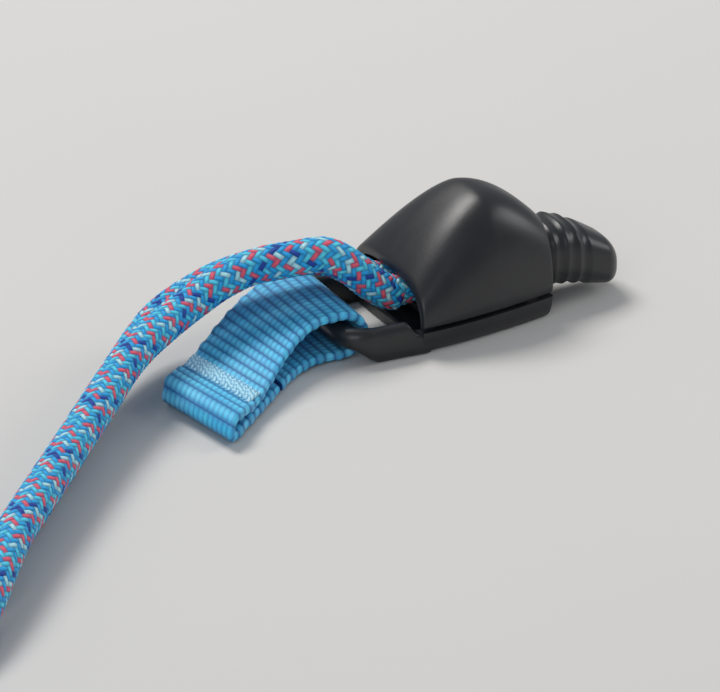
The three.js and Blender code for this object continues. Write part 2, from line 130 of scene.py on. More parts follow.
def make_object(name, parts, sharp_angle=35):
    """One mesh object from (points in mm, faces, uv per corner or None) parts."""
    points = []
    faces = []
    uvs = []
    count = 0
    for part_points, part_faces, part_uvs in parts:
        points.append(np.asarray(part_points, float).reshape(-1, 3))
        faces.extend([tuple(int(i) + count for i in face) for face in part_faces])
        count += len(points[-1])
        if part_uvs is None:
            part_uvs = np.zeros((sum(len(face) for face in part_faces), 2))
        uvs.append(np.asarray(part_uvs, float))
    mesh = bpy.data.meshes.new(name)
    mesh.from_pydata((np.concatenate(points) * MM).tolist(), [], faces)
    layer = mesh.uv_layers.new(name="UVMap")
    layer.data.foreach_set("uv", np.concatenate(uvs).astype(np.float32).ravel())
    mesh.shade_smooth()
    mesh.set_sharp_from_angle(angle=math.radians(sharp_angle))
    made = bpy.data.objects.new(name, mesh)
    bpy.context.collection.objects.link(made)
    return made


def grid_faces(rows, columns, wrap, start=0):
    """Quads over a grid of points; the columns join up if wrap is true."""
    r = np.arange(rows - 1)[:, None]
    c = np.arange(columns if wrap else columns - 1)[None, :]
    a = start + r * columns + c
    b = start + r * columns + (c + 1) % columns
    return np.stack([a, b, b + columns, a + columns], axis=-1).reshape(-1, 4)


def cap_faces(count, start, flip):
    """A fan over one ring, as a single many-sided face."""
    ring = list(range(start, start + count))
    return [tuple(reversed(ring)) if flip else tuple(ring)]


def loft(rings):
    """A closed skin over rings of points (rows, columns, 3), capped at both ends."""
    rows, columns, _ = rings.shape
    faces = [tuple(f) for f in grid_faces(rows, columns, True)]
    faces += cap_faces(columns, 0, True)
    faces += cap_faces(columns, (rows - 1) * columns, False)
    return rings.reshape(-1, 3), faces, None


def slab(outer, inner):
    """A closed skin with thickness, from two grids of the same shape."""
    rows, columns, _ = outer.shape
    total = rows * columns
    faces = [tuple(f) for f in grid_faces(rows, columns, False)]
    faces += [tuple(reversed(f)) for f in grid_faces(rows, columns, False, total).tolist()]
    border = [(0, c) for c in range(columns)]
    border += [(r, columns - 1) for r in range(1, rows)]
    border += [(rows - 1, c) for c in range(columns - 2, -1, -1)]
    border += [(r, 0) for r in range(rows - 2, 0, -1)]
    index = [r * columns + c for r, c in border]
    for a, b in zip(index, index[1:] + index[:1]):
        faces.append((b, a, a + total, b + total))
    return np.concatenate([outer.reshape(-1, 3), inner.reshape(-1, 3)]), faces, None


def block(low, high, edge):
    """A box with its edges and corners cut off, from four stacked outlines."""
    low = np.array(low, float)
    high = np.array(high, float)
    rings = []
    for z, inset in ((low[2], edge), (low[2] + edge, 0), (high[2] - edge, 0), (high[2], edge)):
        x0, y0 = low[:2] + inset
        x1, y1 = high[:2] - inset
        rings.append([
            (x0 + edge, y0, z), (x1 - edge, y0, z), (x1, y0 + edge, z), (x1, y1 - edge, z),
            (x1 - edge, y1, z), (x0 + edge, y1, z), (x0, y1 - edge, z), (x0, y0 + edge, z),
        ])
    return loft(np.array(rings))


def spline_through(points, per_span=24):
    """A smooth line through the given points (centripetal Catmull-Rom)."""
    p = np.array(points, float)
    p = np.concatenate([[2 * p[0] - p[1]], p, [2 * p[-1] - p[-2]]])
    line = []
    for i in range(1, len(p) - 2):
        k = [0.0]
        for a, b in ((p[i - 1], p[i]), (p[i], p[i + 1]), (p[i + 1], p[i + 2])):
            k.append(k[-1] + max(np.linalg.norm(b - a), 1e-6) ** 0.5)
        t = np.linspace(k[1], k[2], per_span, endpoint=False)[:, None]
        a1 = (k[1] - t) / (k[1] - k[0]) * p[i - 1] + (t - k[0]) / (k[1] - k[0]) * p[i]
        a2 = (k[2] - t) / (k[2] - k[1]) * p[i] + (t - k[1]) / (k[2] - k[1]) * p[i + 1]
        a3 = (k[3] - t) / (k[3] - k[2]) * p[i + 1] + (t - k[2]) / (k[3] - k[2]) * p[i + 2]
        b1 = (k[2] - t) / (k[2] - k[0]) * a1 + (t - k[0]) / (k[2] - k[0]) * a2
        b2 = (k[3] - t) / (k[3] - k[1]) * a2 + (t - k[1]) / (k[3] - k[1]) * a3
        line.append((k[2] - t) / (k[2] - k[1]) * b1 + (t - k[1]) / (k[2] - k[1]) * b2)
    line.append(p[-2][None, :])
    return np.concatenate(line)


def lengths_along(line):
    return np.concatenate([[0], np.cumsum(np.linalg.norm(np.diff(line, axis=0), axis=1))])


def resample(line, stations):
    """Points on the line at the given lengths along it."""
    along = lengths_along(line)
    return np.stack([np.interp(stations, along, line[:, i]) for i in range(3)], axis=1)


def travelling_frames(line):
    """Tangent, side and up at each point, carried along the line without twisting."""
    tangent = np.gradient(line, axis=0)
    tangent /= np.linalg.norm(tangent, axis=1)[:, None]
    up = np.zeros_like(tangent)
    first = np.array([0, 0, 1.0])
    if abs(tangent[0] @ first) > 0.9:
        first = np.array([1.0, 0, 0])
    up[0] = first - (first @ tangent[0]) * tangent[0]
    up[0] /= np.linalg.norm(up[0])
    for i in range(1, len(line)):
        carried = up[i - 1] - (up[i - 1] @ tangent[i]) * tangent[i]
        up[i] = carried / np.linalg.norm(carried)
    return tangent, np.cross(up, tangent), up


def tube(line, radius, sides, relief=None, start_length=0.0):
    """A tube round a line. radius is a number or one per point; relief(u, s) is added to it.

    The UV map holds the turn round the tube (0 to 1) and the length along it in metres.
    """
    _, side, up = travelling_frames(line)
    along = lengths_along(line) + start_length
    u = np.arange(sides) / sides
    r = np.broadcast_to(np.asarray(radius, float).reshape(-1, 1), (len(line), sides)).copy()
    if relief is not None:
        r += relief(u[None, :], along[:, None])
    angle = TAU * u
    points = (
        line[:, None, :]
        + (r * np.cos(angle))[:, :, None] * side[:, None, :]
        + (r * np.sin(angle))[:, :, None] * up[:, None, :]
    )
    quads = grid_faces(len(line), sides, True)
    faces = [tuple(f) for f in quads.tolist()]
    faces += cap_faces(sides, 0, True)
    faces += cap_faces(sides, (len(line) - 1) * sides, False)
    row = np.repeat(np.arange(len(line) - 1), sides)
    column = np.tile(np.arange(sides), len(line) - 1)
    quad_uv = np.empty((len(quads), 4, 2))
    for corner, (dr, dc) in enumerate(((0, 0), (0, 1), (1, 1), (1, 0))):
        quad_uv[:, corner, 0] = (column + dc) / sides
        quad_uv[:, corner, 1] = along[row + dr] * MM
    caps = np.zeros((2 * sides, 2))
    caps[:sides, 1] = along[0] * MM
    caps[sides:, 1] = along[-1] * MM
    return points.reshape(-1, 3), faces, np.concatenate([quad_uv.reshape(-1, 2), caps])


# ---------------------------------------------------------------- material tools


class Value:
    """A number socket in a node tree that takes part in plain arithmetic."""

    def __init__(self, tree, socket):
        self.tree = tree
        self.socket = socket

    def __add__(self, other):
        return maths(self.tree, "ADD", self, other)

    def __sub__(self, other):
        return maths(self.tree, "SUBTRACT", self, other)

    def __rsub__(self, other):
        return maths(self.tree, "SUBTRACT", other, self)

    def __mul__(self, other):
        return maths(self.tree, "MULTIPLY", self, other)

    def __truediv__(self, other):
        return maths(self.tree, "DIVIDE", self, other)

    def __mod__(self, other):
        return maths(self.tree, "FLOORED_MODULO", self, other)

    def __pow__(self, other):
        return maths(self.tree, "POWER", self, other)

    def floor(self):
        return maths(self.tree, "FLOOR", self)

    def fraction(self):
        return maths(self.tree, "FRACT", self)

    def sine(self):
        return maths(self.tree, "SINE", self)

    def size(self):
        return maths(self.tree, "ABSOLUTE", self)

    def below(self, other):
        return maths(self.tree, "LESS_THAN", self, other)

    def at_most_one(self):
        return maths(self.tree, "MINIMUM", self, 1.0)

    def largest(self, other):
        return maths(self.tree, "MAXIMUM", self, other)


def maths(tree, operation, *values):
    node = tree.nodes.new("ShaderNodeMath")
    node.operation = operation
    for i, value in enumerate(values):
        if isinstance(value, Value):
            tree.links.new(value.socket, node.inputs[i])
        else:
            node.inputs[i].default_value = value
    return Value(tree, node.outputs[0])


def mix_colour(tree, share, first, second):
    """A colour between first and second; each is a socket or an (r, g, b)."""
    node = tree.nodes.new("ShaderNodeMix")
    node.data_type = "RGBA"
    tree.links.new(share.socket, node.inputs[0])
    for slot, colour in ((6, first), (7, second)):
        if isinstance(colour, tuple):
            node.inputs[slot].default_value = (*colour, 1)
        else:
            tree.links.new(colour, node.inputs[slot])
    return node.outputs[2]


def noise(tree, scale, detail=2.0, vector=None):
    node = tree.nodes.new("ShaderNodeTexNoise")
    node.inputs["Scale"].default_value = scale
    node.inputs["Detail"].default_value = detail
    if vector is None:
        coordinates = tree.nodes.new("ShaderNodeTexCoord")
        vector = coordinates.outputs["Object"]
    tree.links.new(vector, node.inputs["Vector"])
    return Value(tree, node.outputs[0])


def vector_of(tree, x, y, z=0.0):
    node = tree.nodes.new("ShaderNodeCombineXYZ")
    for i, value in enumerate((x, y, z)):
        if isinstance(value, Value):
            tree.links.new(value.socket, node.inputs[i])
        else:
            node.inputs[i].default_value = value
    return node.outputs[0]


def uv_values(tree):
    uv = tree.nodes.new("ShaderNodeUVMap")
    uv.uv_map = "UVMap"
    split = tree.nodes.new("ShaderNodeSeparateXYZ")
    tree.links.new(uv.outputs[0], split.inputs[0])
    return Value(tree, split.outputs[0]), Value(tree, split.outputs[1])


def new_material(name, **settings):
    material = bpy.data.materials.new(name)
    material.use_nodes = True
    tree = material.node_tree
    shader = next(n for n in tree.nodes if n.type == "BSDF_PRINCIPLED")
    for key, value in settings.items():
        shader.inputs[key.replace("_", " ")].default_value = value
    return material, tree, shader


def connect(tree, value, target):
    tree.links.new(value.socket if isinstance(value, Value) else value, target)


def add_bump(tree, shader, height, distance, strength=1.0):
    bump = tree.nodes.new("ShaderNodeBump")
    bump.inputs["Distance"].default_value = distance
    bump.inputs["Strength"].default_value = strength
    connect(tree, height, bump.inputs["Height"])
    tree.links.new(bump.outputs["Normal"], shader.inputs["Normal"])


# ---------------------------------------------------------------- materials


def moulded_plastic(name, base, lighter, roughness):
    """Satin moulded nylon: fine texture, faint flow marks and handling shine."""
    material, tree, shader = new_material(name, Specular_IOR_Level=0.5)
    flow = noise(tree, 420, 3)
    cloud = noise(tree, 90, 2)
    grain = noise(tree, 9000, 2)
    pits = noise(tree, 3200, 1)
    connect(tree, mix_colour(tree, flow * cloud, base, lighter), shader.inputs["Base Color"])
    connect(tree, flow * 0.12 + cloud * 0.1 + (roughness - 0.11), shader.inputs["Roughness"])
    add_bump(tree, shader, grain * 0.6 + pits * 0.4, 0.00002, 0.5)
    return material


def braid_values(tree, u, s, carriers, pitch):
    """The braid at a point: its height, the strand on top, and the place across and along it."""
    a = u * carriers + s / pitch
    b = u * carriers - s / pitch
    step = (a.floor() + b.floor()) % 4.0
    rising = step.below(1.5)
    across = rising * a.fraction() + (1 - rising) * b.fraction()
    along_rising = (step + b.fraction()) / 2
    along_falling = (step - 2.0 + a.fraction()) / 2
    along = rising * along_rising + (1 - rising) * along_falling
    bulge = (along * math.pi).sine()
    round_off = (across * math.pi).sine()
    height = (round_off.largest(0.0) ** 0.6) * (bulge.largest(0.0) * 0.6 + 0.4)
    number = rising * (a.floor() % float(carriers)) + (1 - rising) * (
        b.floor() % float(carriers) + float(carriers)
    )
    return height, number, across, along


def braided_cord(name, carriers, pitch):
    material, tree, shader = new_material(
        name, Sheen_Weight=0.08, Sheen_Roughness=0.4, Specular_IOR_Level=0.35,
    )
    u, s = uv_values(tree)
    height, number, across, along = braid_values(tree, u, s, carriers, pitch)
    half = float(carriers)

    def is_strand(*numbers):
        found = None
        for n in numbers:
            hit = (number - float(n)).size().below(0.5)
            found = hit if found is None else found.largest(hit)
        return found

    light = (0.10, 0.74, 1.0)
    middle = (0.02, 0.44, 0.92)
    deep = (0.01, 0.06, 0.40)
    pink = (0.90, 0.12, 0.18)
    pale = (0.50, 0.92, 1.0)
    colour = mix_colour(tree, (number % 2.0).below(0.5), light, middle)
    colour = mix_colour(tree, is_strand(3, 11, half + 5, half + 13), colour, pale)
    colour = mix_colour(tree, is_strand(0, 5, 10, half + 2, half + 7, half + 12), colour, pink)
    colour = mix_colour(tree, is_strand(7, half + 15), colour, deep)
    fibres = noise(tree, 1.0, 2, vector_of(tree, across * 9.0, along * 1.5, number * 7.3))
    # Darker where the braid sinks between strands: painted shade in the grooves, with random fibre
    # tone mixed in.
    shade = height * 0.65 + fibres * 0.35 + 0.15
    colour = mix_colour(tree, shade.at_most_one(), (0.006, 0.05, 0.17), colour)
    connect(tree, colour, shader.inputs["Base Color"])
    connect(tree, fibres * 0.25 + 0.5, shader.inputs["Roughness"])
    add_bump(tree, shader, height + fibres * 0.22, 0.00012, 0.8)
    return material


BRAID_CARRIERS = 16
BRAID_PITCH = 0.6


def braid_relief(u, s):
    """The same pattern as the material's, as a height in millimetres."""
    a = u * BRAID_CARRIERS + s / BRAID_PITCH
    b = u * BRAID_CARRIERS - s / BRAID_PITCH
    step = (np.floor(a) + np.floor(b)) % 4
    rising = step < 1.5
    across = np.where(rising, a % 1, b % 1)
    along = np.where(rising, step + b % 1, step - 2 + a % 1) / 2
    bulge = np.clip(np.sin(along * math.pi), 0, 1)
    height = np.clip(np.sin(across * math.pi), 0, 1) ** 0.6 * (0.4 + 0.6 * bulge)
    return 0.13 * (height - 0.6)


WEBBING_RIB = 0.88
WEBBING_YARN = 0.33


def webbing_material(name):
    """Plain-weave webbing: warp yarns ride over every second rib, brick fashion."""
    material, tree, shader = new_material(
        name, Sheen_Weight=0.08, Sheen_Roughness=0.35, Specular_IOR_Level=0.4,
    )
    across, along = uv_values(tree)
    rib = along / (WEBBING_RIB * MM)
    rib_number = rib.floor()
    column = across / (2 * WEBBING_YARN * MM) + (rib_number % 2.0) * 0.5
    crest = (rib.fraction() * math.pi).sine()
    yarn = (column.fraction() * math.pi).sine()
    height = (crest ** 0.7) * (yarn * 0.45 + 0.55)
    own = noise(tree, 1.0, 1, vector_of(tree, column.floor() * 3.7, rib_number * 2.9))
    fibres = noise(tree, 1.0, 2, vector_of(tree, column * 14.0, rib * 1.2))
    cloud = noise(tree, 160, 2)
    colour = mix_colour(tree, own, (0.0, 0.42, 0.92), (0.01, 0.70, 1.0))
    # Pale cyan patches where fibre and cloud noise run high: a painted highlight.
    colour = mix_colour(tree, fibres * cloud, colour, (0.45, 0.92, 1.0))
    # Darker in the dips between ribs and yarns: painted shade, with random fibre tone mixed in.
    shade = height * 0.85 + fibres * 0.25
    colour = mix_colour(tree, shade.at_most_one(), (0.0, 0.02, 0.24), colour)
    connect(tree, colour, shader.inputs["Base Color"])
    connect(tree, fibres * 0.3 + 0.42, shader.inputs["Roughness"])
    add_bump(tree, shader, height + fibres * 0.2, 0.00009, 0.8)
    return material


def thread_material(name, dark, light):
    """Twisted polyester thread: the ply shows as slanted lines."""
    material, tree, shader = new_material(name, Sheen_Weight=0.3, Specular_IOR_Level=0.45)
    u, s = uv_values(tree)
    ply = ((u * 2.0 + s / 0.0006).fraction() * math.pi).sine()
    fuzz = noise(tree, 5200, 2)
    # Darker in the grooves between the plies: painted shade, with random fuzz tone.
    colour = mix_colour(tree, (ply * 0.8 + fuzz * 0.3).at_most_one(), dark, light)
    connect(tree, colour, shader.inputs["Base Color"])
    connect(tree, fuzz * 0.3 + 0.4, shader.inputs["Roughness"])
    add_bump(tree, shader, ply, 0.00004, 0.7)
    return material


def tie_material(name):
    """Woven black tie tape."""
    material, tree, shader = new_material(name, Sheen_Weight=0.4, Specular_IOR_Level=0.3)
    across, along = uv_values(tree)
    weave = ((across / 0.0004).fraction() * math.pi).sine() * (
        (along / 0.0005).fraction() * math.pi
    ).sine()
    fuzz = noise(tree, 4200, 3)
    # Darker in the dips of the weave: painted shade, broken up by random fuzz tone.
    colour = mix_colour(tree, weave * fuzz, (0.008, 0.008, 0.01), (0.06, 0.06, 0.066))
    connect(tree, colour, shader.inputs["Base Color"])
    connect(tree, fuzz * 0.2 + 0.7, shader.inputs["Roughness"])
    add_bump(tree, shader, weave + fuzz * 0.5, 0.00008, 0.8)
    return material


def spring_material(name):
    material, tree, shader = new_material(name, Metallic=1.0)
    drawn = noise(tree, 3000, 2)
    colour = mix_colour(tree, drawn, (0.42, 0.43, 0.45), (0.62, 0.63, 0.65))
    connect(tree, colour, shader.inputs["Base Color"])
    connect(tree, drawn * 0.2 + 0.18, shader.inputs["Roughness"])
    add_bump(tree, shader, drawn, 0.00001, 0.4)
    return material


def floor_material(name):
    material, tree, shader = new_material(name, Specular_IOR_Level=0.2)
    cloud = noise(tree, 6, 3)
    tooth = noise(tree, 900, 2)
    colour = mix_colour(tree, cloud, (0.62, 0.61, 0.59), (0.68, 0.67, 0.65))
    connect(tree, colour, shader.inputs["Base Color"])
    connect(tree, cloud * 0.1 + 0.75, shader.inputs["Roughness"])
    add_bump(tree, shader, tooth, 0.00003, 0.3)
    return material


HOUSING = moulded_plastic("housing_plastic", (0.010, 0.011, 0.013), (0.030, 0.031, 0.034), 0.36)
BUTTON = moulded_plastic("button_plastic", (0.009, 0.010, 0.012), (0.028, 0.029, 0.032), 0.33)
CORD = braided_cord("drawcord", BRAID_CARRIERS, BRAID_PITCH * MM)
WEBBING = webbing_material("webbing")
STITCHING = thread_material("stitching", (0.04, 0.3, 0.6), (0.5, 0.86, 0.97))
TIE = tie_material("tie")
SPRING = spring_material("spring_steel")


def finish_piece(piece, material, body, slot, *nodes):
    piece.data.materials.append(material)
    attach(piece, body)
    if nodes:
        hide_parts(*nodes)
    return piece


# ---------------------------------------------------------------- cord

CORD_BODY_RADIUS = 1.47
CORD_SIDES = 44
STRAND_OFFSET = 1.6
LAYER_RISE = 3.1
FLOOR_REST = 1.5
FREE_STEP = 0.17
COILED_STEP = 0.42
CLIMB_SHARE = 1 / 6
POINTS_PER_TURN = 200
HELD_RADIUS = 1.33
NIP_DEPTH = 0.28
NIP_AT = 2.2
NIP_SPREAD = 1.6

# The pair's middle line from the mouth to the coil, as in the CAD source.
FREE_ROUTE = [
    (-7.0, 0, 3.75), (-8.0, 0, 4.1), (-9.4, 0, 5.1), (-11.3, 0, 6.3),
    (-13.7, 0, 7.0), (-16.3, 0.2, 7.0), (-18.8, 0.8, 6.7), (-21.6, 1.1, 6.0),
    (-25.7, 0.4, 4.6), (-31.2, -3.7, 3.1), (-37.4, -10.2, 2.1), (-44.1, -18.1, 1.6),
    (-50.9, -26.4, 1.5), (-56.6, -33.3, 1.5), (-61.8, -39.3, 1.5), (-67.5, -44.3, 1.5),
    (-74.0, -47.4, 1.5), (-80.5, -48.6, 1.5),
]

# The left strand rolls up over the right one in two steps, and back down before the coil.
# A step is where it starts, ahead of the origin, and how long it is.
RIDE_FIRST = 0.45
RIDE_FIRST_STEP = (9, 5)
RIDE_SECOND = 0.6
RIDE_SECOND_STEP = (24, 12)
RIDE_BACK_STEP = (52, 14)

# Each strand: its side of the middle line, the turns of its winding, how far from the coil's
# centre its knot lies, and the share of the run-out in which it gets there.
STRANDS = {
    "left": {"side": 1, "turns": 2.24, "knot_distance": 25.2, "reach": 0.8},
    "right": {"side": -1, "turns": 2.95, "knot_distance": 9.2, "reach": 0.6},
}
# The run from the winding to the knot: the angle it turns through, and the knot's height.
RUN_OUT = 2.2
KNOT_Z = 3.96


def ride_angle(x):
    """How far the left strand has rolled up over the right one: 0 is side by side."""

    def eased(start, length):
        return smooth_step((-x - start) / length)

    rolled = RIDE_FIRST * eased(*RIDE_FIRST_STEP) + RIDE_SECOND * eased(*RIDE_SECOND_STEP)
    return rolled * (1 - eased(*RIDE_BACK_STEP))


def strand_line(side):
    """One strand beside the pair's middle line, or above the other where they ride up."""
    middle = spline_through(FREE_ROUTE)
    heading = np.gradient(middle, axis=0)[:, :2]
    heading /= np.linalg.norm(heading, axis=1)[:, None]
    ride = ride_angle(middle[:, 0])
    beside = side * STRAND_OFFSET * np.cos(ride)
    line = middle.copy()
    line[:, 0] -= beside * heading[:, 1]
    line[:, 1] += beside * heading[:, 0]
    line[:, 2] += (1 + side) * STRAND_OFFSET * np.sin(ride)
    return line


def winding(start, turns, knot_distance, reach):
    """Clockwise turns that climb by a layer each time round, then the run to the knot."""
    offset = start[:2] - COIL_CENTRE
    radius = np.linalg.norm(offset)
    first = math.atan2(offset[1], offset[0])
    turned = np.linspace(0, turns, int(turns * POINTS_PER_TURN))
    climb = np.floor(turned) + smooth_step((turned % 1 - 1 + CLIMB_SHARE) / CLIMB_SHARE)
    angle = first - TAU * turned
    height = FLOOR_REST + LAYER_RISE * climb
    coiled = np.stack([radius * np.cos(angle), radius * np.sin(angle), height], axis=1)
    t = np.linspace(0, 1, 120)[1:]
    angle = angle[-1] - RUN_OUT * t
    distance = radius + (knot_distance - radius) * smooth_step(t / reach)
    height = height[-1] + (KNOT_Z - height[-1]) * smooth_step((t - 0.3) / 0.7)
    run = np.stack([distance * np.cos(angle), distance * np.sin(angle), height], axis=1)
    line = np.concatenate([coiled, run])
    line[:, :2] += COIL_CENTRE
    return line


def make_cord(word):
    strand = STRANDS[word]
    free = strand_line(strand["side"])
    coiled = winding(free[-1], strand["turns"], strand["knot_distance"], strand["reach"])
    line = np.concatenate([free, coiled[1:]])
    total = lengths_along(line)[-1]
    seen = lengths_along(free)[-1]
    stations = np.concatenate([
        np.arange(0, seen, FREE_STEP),
        np.arange(seen, total, COILED_STEP),
        [total],
    ])
    line = resample(line, stations)
    part = tube(line, CORD_BODY_RADIUS, CORD_SIDES, braid_relief)
    cord = make_object(f"braid_{word}", [part], SOFT_ANGLE)
    finish_piece(cord, CORD, "lock", "drawcord", f"cord_{word}", "cord_coil")
    return cord, line, total


def overhand_knot(word, end, heading, start_length):
    """A tight overhand knot on the strand's end, with a short sealed tail."""
    t = np.linspace(0.32, TAU - 0.32, 220)
    loops = np.stack([
        np.sin(t) + 2 * np.sin(2 * t),
        np.cos(t) - 2 * np.cos(2 * t),
        -np.sin(3 * t),
    ], axis=1)
    loops *= np.array([1.02, 1.02, 1.45])
    entry = loops[0]
    turn = math.atan2(heading[1], heading[0]) - math.atan2(-entry[1], -entry[0])
    spin = np.array([
        [math.cos(turn), -math.sin(turn), 0],
        [math.sin(turn), math.cos(turn), 0],
        [0, 0, 1],
    ])
    loops = loops @ spin.T
    centre = np.array([*end[:2], KNOT_Z])
    loops += centre
    away = loops[-1] - loops[-2]
    away[2] = 0
    away /= np.linalg.norm(away)
    tail = loops[-1] + away * np.linspace(0.3, 5.0, 14)[:, None]
    tail[:, 2] += (FLOOR_REST - loops[-1][2]) * smooth_step(np.linspace(0, 1, 14))
    line = spline_through(np.concatenate([loops[::6], tail[::4]]), 10)
    line = resample(line, np.arange(0, lengths_along(line)[-1], 0.25))
    radius = np.full(len(line), 1.32)
    radius[-4:] = (1.2, 1.05, 0.8, 0.45)
    part = tube(line, radius, 36, lambda u, s: 0.8 * braid_relief(u, s), start_length)
    knot = make_object(f"knot_{word}", [part], SOFT_ANGLE)
    return finish_piece(knot, CORD, "lock", "drawcord", f"cord_knot_{word}")


def held_cord(word):
    """The strand inside the lock: up from the window, nipped by the bar, out to the mouth."""
    side = STRANDS[word]["side"]
    y = -side * STRAND_OFFSET
    low, _ = node_box(f"cord_{word}_inside")
    line = spline_through([
        (-2.1, y, low[2] + 0.1), (-2.1, y, 1.4), (-2.15, y, 2.4), (-2.8, y, 3.6),
        (-4.1, y, 4.2), (-5.6, y, 4.05), (-7.2, y, 3.9),
    ])
    line = resample(line, np.arange(0, lengths_along(line)[-1], 0.15))
    along = lengths_along(line)
    nipped = np.exp(-(((along - NIP_AT) / NIP_SPREAD) ** 2))
    radius = HELD_RADIUS - NIP_DEPTH * nipped
    part = tube(line, radius, 40, braid_relief)
    piece = make_object(f"held_braid_{word}", [part], SOFT_ANGLE)
    return finish_piece(piece, CORD, "lock", "drawcord", f"cord_{word}_inside")


for word in STRANDS:
    held_cord(word)
    cord, line, total = make_cord(word)
    knot = overhand_knot(word, line[-1], line[-1] - line[-6], total)


COIL_INNER = 13.9
COIL_OUTER = 20.5
TIE_GAP = 0.45
TIE_HALF_WIDTH = 2.0
TIE_HALF_THICK = 0.27


def coil_tie():
    """A flat tape round the winding, with rounded corners."""
    low, high = node_box("coil_tie")
    centre = (low + high) / 2
    outward = centre[:2] - COIL_CENTRE
    angle = math.atan2(outward[1], outward[0])
    inner = COIL_INNER - TIE_GAP
    outer = COIL_OUTER + TIE_GAP
    bottom = 0.3
    top = FLOOR_REST + 2 * LAYER_RISE + CORD_BODY_RADIUS + TIE_GAP
    corner = 1.6
    loop = []
    for centre_r, centre_z, first in (
        (outer - corner, bottom + corner, -90), (outer - corner, top - corner, 0),
        (inner + corner, top - corner, 90), (inner + corner, bottom + corner, 180),
    ):
        for step in range(9):
            turn = math.radians(first + 90 * step / 8)
            loop.append((centre_r + corner * math.cos(turn), centre_z + corner * math.sin(turn)))
    loop = np.array(loop)
    gap = np.roll(loop, -1, axis=0) - loop
    tangent = gap + np.roll(gap, 1, axis=0)
    tangent /= np.linalg.norm(tangent, axis=1)[:, None]
    normal = np.stack([tangent[:, 1], -tangent[:, 0]], axis=1)
    section = [(-1, -1), (-0.94, -1), (0.94, -1), (1, -1), (1, 1), (0.94, 1), (-0.94, 1), (-1, 1)]
    rings = []
    along = lengths_along(np.concatenate([loop, loop[:1]]))
    for (r, z), (nr, nz) in zip(loop, normal):
        ring = []
        for across, thick in section:
            rr = r + nr * TIE_HALF_THICK * thick
            zz = z + nz * TIE_HALF_THICK * thick
            side = TIE_HALF_WIDTH * across
            ring.append((
                COIL_CENTRE[0] + rr * math.cos(angle) - side * math.sin(angle),
                COIL_CENTRE[1] + rr * math.sin(angle) + side * math.cos(angle),
                zz,
            ))
        rings.append(ring)
    rings = np.array(rings + rings[:1])
    faces = grid_faces(len(rings), len(section), True)
    uv = np.zeros((len(faces), 4, 2))
    columns = TIE_HALF_WIDTH * np.array([a for a, _ in section] + [section[0][0]])
    for i in range(len(faces)):
        row, column = divmod(i, len(section))
        for corner_index, (dr, dc) in enumerate(((0, 0), (0, 1), (1, 1), (1, 0))):
            uv[i, corner_index] = (columns[column + dc] * MM, along[row + dr] * MM)
    tie = make_object("tie_tape", [(rings, [tuple(f) for f in faces.tolist()], uv.reshape(-1, 2))])
    return finish_piece(tie, TIE, "lock", "tie", "coil_tie")


coil_tie()

# ---------------------------------------------------------------- housing

SEAM_Z = 2.2
SEAM_GAP = 0.3
WALL = 0.8
FLOOR_THICKNESS = 1.2
CORNER_ROUND = 1.1
ARCH_POWER = 2.8
REAR_NARROWING = 2.3
MOUTH_TOP = 6.1
REAR_TOP = 8.3
CREST_X = 0.6
FRONT_FALL = 1.5
REAR_FALL = 1.9
LIP = 0.28
TONGUE_LOW = (-4.4, 4.75, 1.6)
TONGUE_HIGH = (-2.2, 5.3, 6.8)
WINDOW_LOW = (-3.7, -3.3, -1)
WINDOW_HIGH = (-0.6, 3.3, 1.6)
ANVIL_LOW = (-0.5, -3.1, 0.7)
ANVIL_HIGH = (0.9, 3.1, 5.6)
SPIGOT_RADIUS = 1.0
SPIGOT_LENGTH = 1.2
SPRING_Z = 3.9
TOOTH_HEIGHT = 0.2
TOOTH_HALF_PITCH = 0.3


def half_width_at(x):
    along = np.clip((x - MOUTH_X) / (REAR_X - MOUTH_X), 0, 1)
    return base_high[1] - REAR_NARROWING * along**1.6


def top_at(x):
    crest = cover_high[2]
    ahead = np.clip((CREST_X - x) / (CREST_X - MOUTH_X), 0, 1)
    behind = np.clip((x - CREST_X) / (REAR_X - CREST_X), 0, 1)
    fall = (crest - MOUTH_TOP) * ahead**FRONT_FALL + (crest - REAR_TOP) * behind**REAR_FALL
    return crest - fall


def lip_stations(count):
    """Places along X with a finely rounded lip at both ends: (x, how far the skin is drawn in)."""
    turn = np.linspace(0, math.pi / 2, 7)
    front = [(MOUTH_X + LIP * (1 - math.sin(a)), LIP * (1 - math.cos(a))) for a in turn[::-1]]
    rear = [(REAR_X - (x - MOUTH_X), inset) for x, inset in front[::-1]]
    middle = [(x, 0.0) for x in np.linspace(MOUTH_X + LIP, REAR_X - LIP, count)[1:-1]]
    return front + middle + rear


def cover_row(x, inset, edge_inset, columns):
    """One arch of the cover's skin, from the seam over the top to the other seam."""
    half = half_width_at(x) - inset
    rise = top_at(x) - inset - SEAM_Z
    foot = SEAM_GAP / 2
    start = math.asin(min(1.0, (foot / rise) ** (ARCH_POWER / 2)))
    turn = np.linspace(start, math.pi - start, columns)
    y = half * signed_power(np.cos(turn), 2 / ARCH_POWER)
    z = SEAM_Z + rise * np.abs(np.sin(turn)) ** (2 / ARCH_POWER)
    near_foot = np.clip(1 - (z - SEAM_Z - foot) / 0.22, 0, 1)
    drawn = edge_inset * (1 - np.sqrt(np.clip(1 - near_foot**2, 0, 1)))
    y = y - np.sign(y) * drawn
    return np.stack([np.full(columns, x), y, z], axis=1)


def housing_cover():
    stations = lip_stations(70)
    outer = np.array([cover_row(x, inset, 0.2, 121) for x, inset in stations])
    inner = np.array([cover_row(x, WALL - inset, 0.0, 121) for x, inset in stations])
    parts = [slab(outer, inner)]
    tongue = block(TONGUE_LOW, TONGUE_HIGH, 0.1)
    parts.append(tongue)
    parts.append((tongue[0] * np.array([1, -1, 1]), [f[::-1] for f in tongue[1]], None))
    cover = make_object("cover_shell", parts, HARD_ANGLE)
    return finish_piece(cover, HOUSING, "lock", "housing_plastic", "housing_cover")


